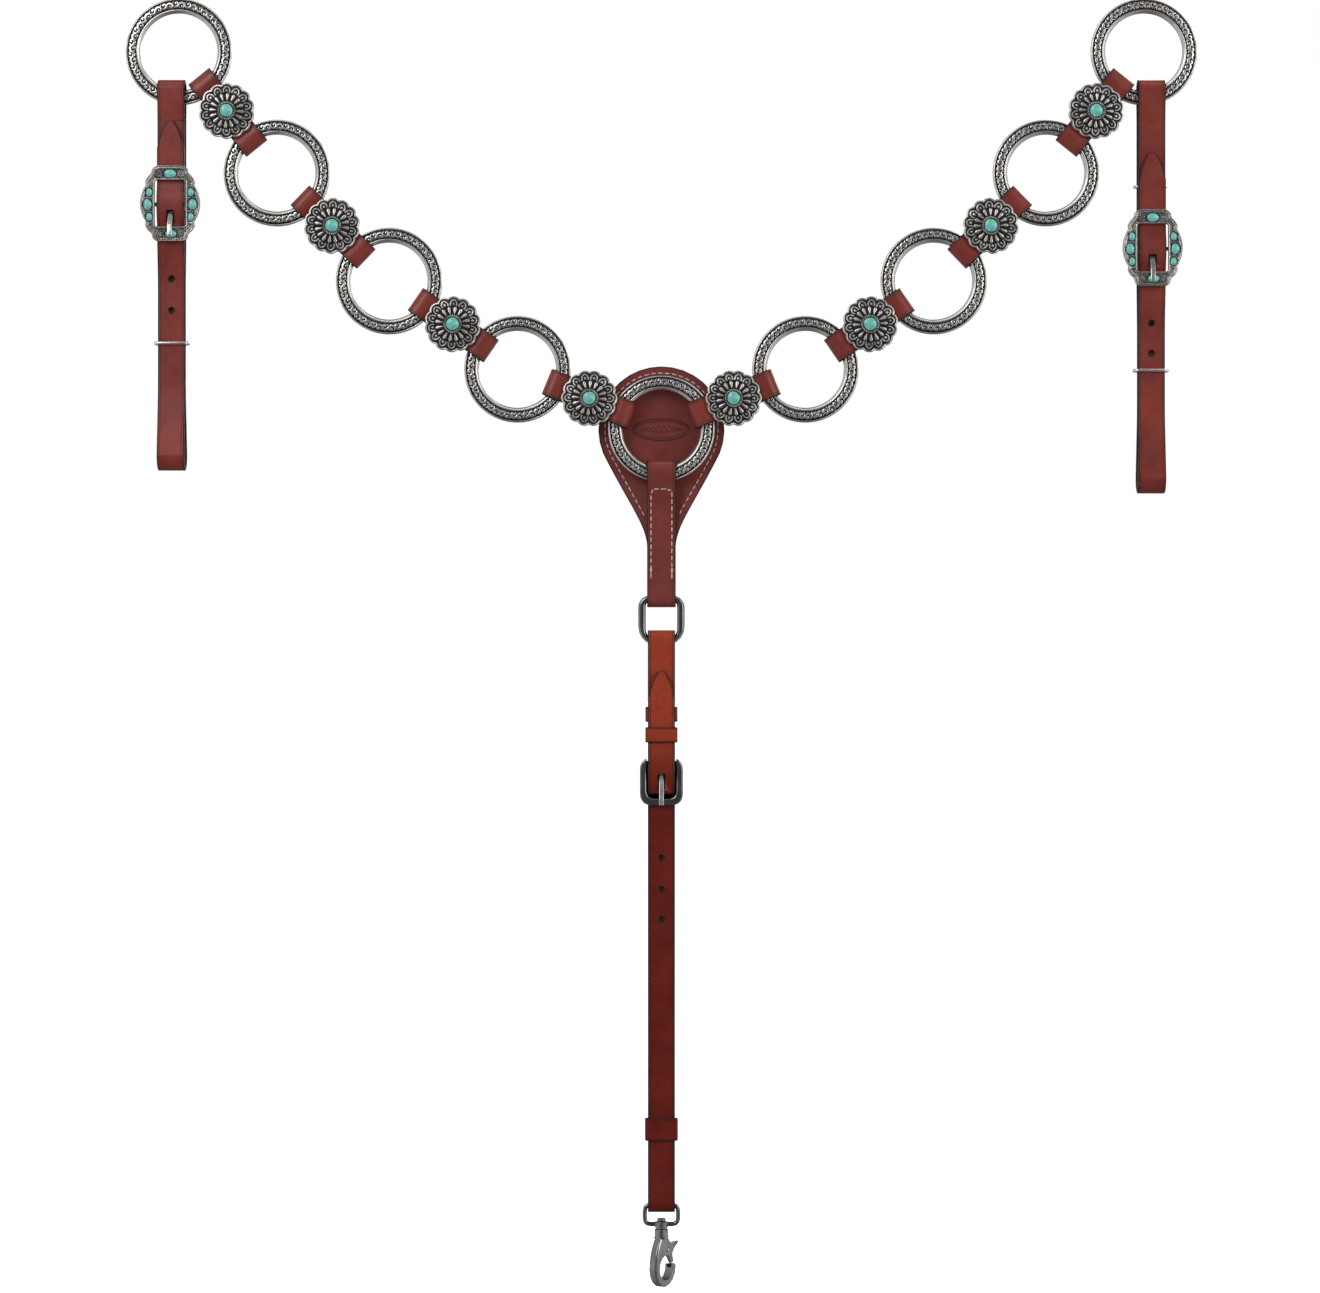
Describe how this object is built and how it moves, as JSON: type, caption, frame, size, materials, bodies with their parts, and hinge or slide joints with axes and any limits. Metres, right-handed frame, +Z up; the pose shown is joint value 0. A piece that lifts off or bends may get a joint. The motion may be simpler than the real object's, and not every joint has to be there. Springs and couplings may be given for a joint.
{
  "type": "breast collar",
  "caption": "Western ring breast collar: cast rings joined by concho link straps, a stitched shield, a buckled tie-down with a trigger snap, and two buckled tugs.",
  "frame": {"origin": "midway between the centres of the two end rings, which hold the collar up", "axes": "+Z up, +X to the right as seen from the dressed side, -Y out of the dressed side, so +Y points at the horse"},
  "size_m": [0.7498, 0.0324, 0.9019],
  "materials": {
    "chestnut_leather": "chestnut bridle leather, waxed, edges painted black",
    "tie_down_leather": "chestnut bridle leather, waxed, edges painted black",
    "lining_leather": "undressed flesh side, napped",
    "ring_silver": "antiqued cast metal, engraved, polished rims",
    "concho_silver": "antiqued cast metal with turquoise-coloured stones",
    "polished_nickel": "polished nickel plate",
    "screw_nickel": "nickel plate, satin",
    "dark_nickel": "black nickel plate, glossy",
    "turquoise": "polished stone, faintly veined"
  },
  "bodies": {
    "root": {"ring_left_4": "ring_silver", "ring_right_4": "ring_silver"},
    "collar": {"link_strap_left_1": "chestnut_leather", "concho_left_1": "concho_silver", "concho_screw_left_1": "screw_nickel", "link_strap_right_1": "chestnut_leather", "concho_right_1": "concho_silver", "concho_screw_right_1": "screw_nickel", "link_strap_left_2": "chestnut_leather", "concho_left_2": "concho_silver", "concho_screw_left_2": "screw_nickel", "link_strap_right_2": "chestnut_leather", "concho_right_2": "concho_silver", "concho_screw_right_2": "screw_nickel", "link_strap_left_3": "chestnut_leather", "concho_left_3": "concho_silver", "concho_screw_left_3": "screw_nickel", "link_strap_right_3": "chestnut_leather", "concho_right_3": "concho_silver", "concho_screw_right_3": "screw_nickel", "link_strap_left_4": "chestnut_leather", "concho_left_4": "concho_silver", "concho_screw_left_4": "screw_nickel", "link_strap_right_4": "chestnut_leather", "concho_right_4": "concho_silver", "concho_screw_right_4": "screw_nickel"},
    "ring_centre": {"ring_centre": "ring_silver"},
    "ring_left_1": {"ring_left_1": "ring_silver"},
    "ring_left_2": {"ring_left_2": "ring_silver"},
    "ring_left_3": {"ring_left_3": "ring_silver"},
    "ring_right_1": {"ring_right_1": "ring_silver"},
    "ring_right_2": {"ring_right_2": "ring_silver"},
    "ring_right_3": {"ring_right_3": "ring_silver"},
    "shield": {"shield_front": "chestnut_leather", "shield_lining": "lining_leather", "drop_strap": "chestnut_leather"},
    "dee": {"dee_loop": "dark_nickel"},
    "tie_down": {"tie_down_strap": "tie_down_leather", "tie_down_buckle": "dark_nickel", "tie_down_keeper_fixed": "tie_down_leather"},
    "tie_down_tongue": {"tie_down_tongue": "polished_nickel"},
    "tie_down_keeper_sliding": {"tie_down_keeper_sliding": "tie_down_leather"},
    "tie_down_keeper_lower": {"tie_down_keeper_lower": "tie_down_leather"},
    "snap_eye": {"snap_eye": "dark_nickel"},
    "snap": {"snap_body": "dark_nickel", "snap_rivet": "screw_nickel"},
    "snap_trigger": {"snap_trigger": "dark_nickel"},
    "tug_left": {"tug_left_strap": "chestnut_leather", "tug_left_buckle": "concho_silver"},
    "tug_left_tongue": {"tug_left_tongue": "polished_nickel"},
    "tug_left_slide": {"tug_left_slide": "polished_nickel"},
    "tug_right": {"tug_right_strap": "chestnut_leather", "tug_right_buckle": "concho_silver"},
    "tug_right_tongue": {"tug_right_tongue": "polished_nickel"},
    "tug_right_slide": {"tug_right_slide": "polished_nickel"},
    "tug_right_back_wire": {"tug_right_back_wire": "polished_nickel"}
  },
  "joints": [
    {"name": "collar_swing", "type": "hinge", "parent": "root", "child": "collar", "pos_m": [0, 0, -0.02497], "axis": [1, 0, 0], "range_deg": [-10, 10]},
    {"name": "ring_centre_spin", "type": "hinge", "parent": "collar", "child": "ring_centre", "pos_m": [0, 0, -0.26368], "axis": [0, 1, 0], "continuous": true},
    {"name": "ring_left_1_spin", "type": "hinge", "parent": "collar", "child": "ring_left_1", "pos_m": [-0.10076, 0, -0.22212], "axis": [0, 1, 0], "continuous": true},
    {"name": "ring_left_2_spin", "type": "hinge", "parent": "collar", "child": "ring_left_2", "pos_m": [-0.19058, 0, -0.16037], "axis": [0, 1, 0], "continuous": true},
    {"name": "ring_left_3_spin", "type": "hinge", "parent": "collar", "child": "ring_left_3", "pos_m": [-0.26912, 0, -0.08478], "axis": [0, 1, 0], "continuous": true},
    {"name": "ring_right_1_spin", "type": "hinge", "parent": "collar", "child": "ring_right_1", "pos_m": [0.10076, 0, -0.22212], "axis": [0, 1, 0], "continuous": true},
    {"name": "ring_right_2_spin", "type": "hinge", "parent": "collar", "child": "ring_right_2", "pos_m": [0.19058, 0, -0.16037], "axis": [0, 1, 0], "continuous": true},
    {"name": "ring_right_3_spin", "type": "hinge", "parent": "collar", "child": "ring_right_3", "pos_m": [0.26912, 0, -0.08478], "axis": [0, 1, 0], "continuous": true},
    {"name": "shield_swing", "type": "hinge", "parent": "collar", "child": "shield", "pos_m": [0, 0, -0.29578], "axis": [-1, 0, 0], "range_deg": [0, 20]},
    {"name": "dee_swing", "type": "hinge", "parent": "shield", "child": "dee", "pos_m": [0, 0, -0.38268], "axis": [1, 0, 0], "range_deg": [-30, 30]},
    {"name": "tie_down_swing", "type": "hinge", "parent": "dee", "child": "tie_down", "pos_m": [0, 0, -0.41298], "axis": [1, 0, 0], "range_deg": [-15, 15]},
    {"name": "tie_down_tongue_lift", "type": "hinge", "parent": "tie_down", "child": "tie_down_tongue", "pos_m": [0, -0.0036, -0.4975], "axis": [-1, 0, 0], "range_deg": [0, 6]},
    {"name": "tie_down_keeper_slide", "type": "slide", "parent": "tie_down", "child": "tie_down_keeper_sliding", "axis": [0, 0, 1], "range_m": [-0.001, 0.0035]},
    {"name": "lower_keeper_slide", "type": "slide", "parent": "tie_down", "child": "tie_down_keeper_lower", "axis": [0, 0, 1], "range_m": [0, 0.12]},
    {"name": "snap_eye_swing", "type": "hinge", "parent": "tie_down", "child": "snap_eye", "pos_m": [0, 0, -0.8069], "axis": [1, 0, 0], "range_deg": [-35, 35]},
    {"name": "snap_swivel", "type": "hinge", "parent": "snap_eye", "child": "snap", "pos_m": [0, 0, -0.821], "axis": [0, 0, 1], "continuous": true},
    {"name": "snap_trigger_press", "type": "hinge", "parent": "snap", "child": "snap_trigger", "pos_m": [0.0018, 0.00288, -0.8384], "axis": [-0.848, 0.5299, 0], "range_deg": [0, 25], "stiffness_Nm_per_rad": 0.02},
    {"name": "tug_left_swing", "type": "hinge", "parent": "root", "child": "tug_left", "pos_m": [-0.34263, 0, -0.031], "axis": [1, 0, 0], "range_deg": [-15, 15]},
    {"name": "tug_left_tongue_lift", "type": "hinge", "parent": "tug_left", "child": "tug_left_tongue", "pos_m": [-0.34263, -0.0034, -0.1071], "axis": [-1, 0, 0], "range_deg": [0, 6]},
    {"name": "tug_left_slide_travel", "type": "slide", "parent": "tug_left", "child": "tug_left_slide", "axis": [0, 0, 1], "range_m": [-0.022, 0.03]},
    {"name": "tug_right_swing", "type": "hinge", "parent": "root", "child": "tug_right", "pos_m": [0.34263, 0, -0.031], "axis": [1, 0, 0], "range_deg": [-15, 15]},
    {"name": "tug_right_tongue_lift", "type": "hinge", "parent": "tug_right", "child": "tug_right_tongue", "pos_m": [0.34263, -0.0034, -0.138], "axis": [-1, 0, 0], "range_deg": [0, 6]},
    {"name": "tug_right_slide_travel", "type": "slide", "parent": "tug_right", "child": "tug_right_slide", "axis": [0, 0, 1], "range_m": [-0.018, 0.018]},
    {"name": "tug_right_back_wire_travel", "type": "slide", "parent": "tug_right", "child": "tug_right_back_wire", "axis": [0, 0, 1], "range_m": [-0.02, 0.02]}
  ]
}
